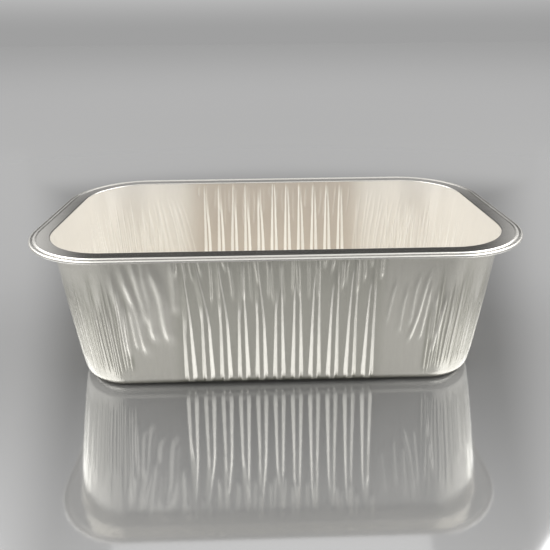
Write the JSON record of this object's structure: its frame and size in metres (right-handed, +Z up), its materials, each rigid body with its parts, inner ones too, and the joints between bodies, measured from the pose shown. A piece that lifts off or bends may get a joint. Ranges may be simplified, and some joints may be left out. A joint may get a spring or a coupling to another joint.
{
  "type": "foil baking tray",
  "caption": "Deep loaf-shaped foil baking tray with drafted walls, pressed flutes on the long sides, pleated round corners, a flat lid flange and a rolled rim.",
  "frame": {"origin": "middle of the base, on the plane that the tray stands on", "axes": "+X along the long walls towards the right end, +Y towards the back wall, +Z up"},
  "size_m": [0.206, 0.114, 0.0658],
  "materials": {
    "drawn_foil": "satin rolled foil with fine draw lines",
    "rim_foil": "bright rolled foil, burnished along the bends"
  },
  "bodies": {
    "root": {"floor_panel": "drawn_foil", "foot_ring": "drawn_foil", "front_wall": "drawn_foil", "back_wall": "drawn_foil", "left_end_wall": "drawn_foil", "right_end_wall": "drawn_foil", "corner_front_left": "drawn_foil", "corner_front_right": "drawn_foil", "corner_back_left": "drawn_foil", "corner_back_right": "drawn_foil", "rim_flange": "rim_foil", "rolled_rim": "rim_foil"}
  },
  "joints": []
}
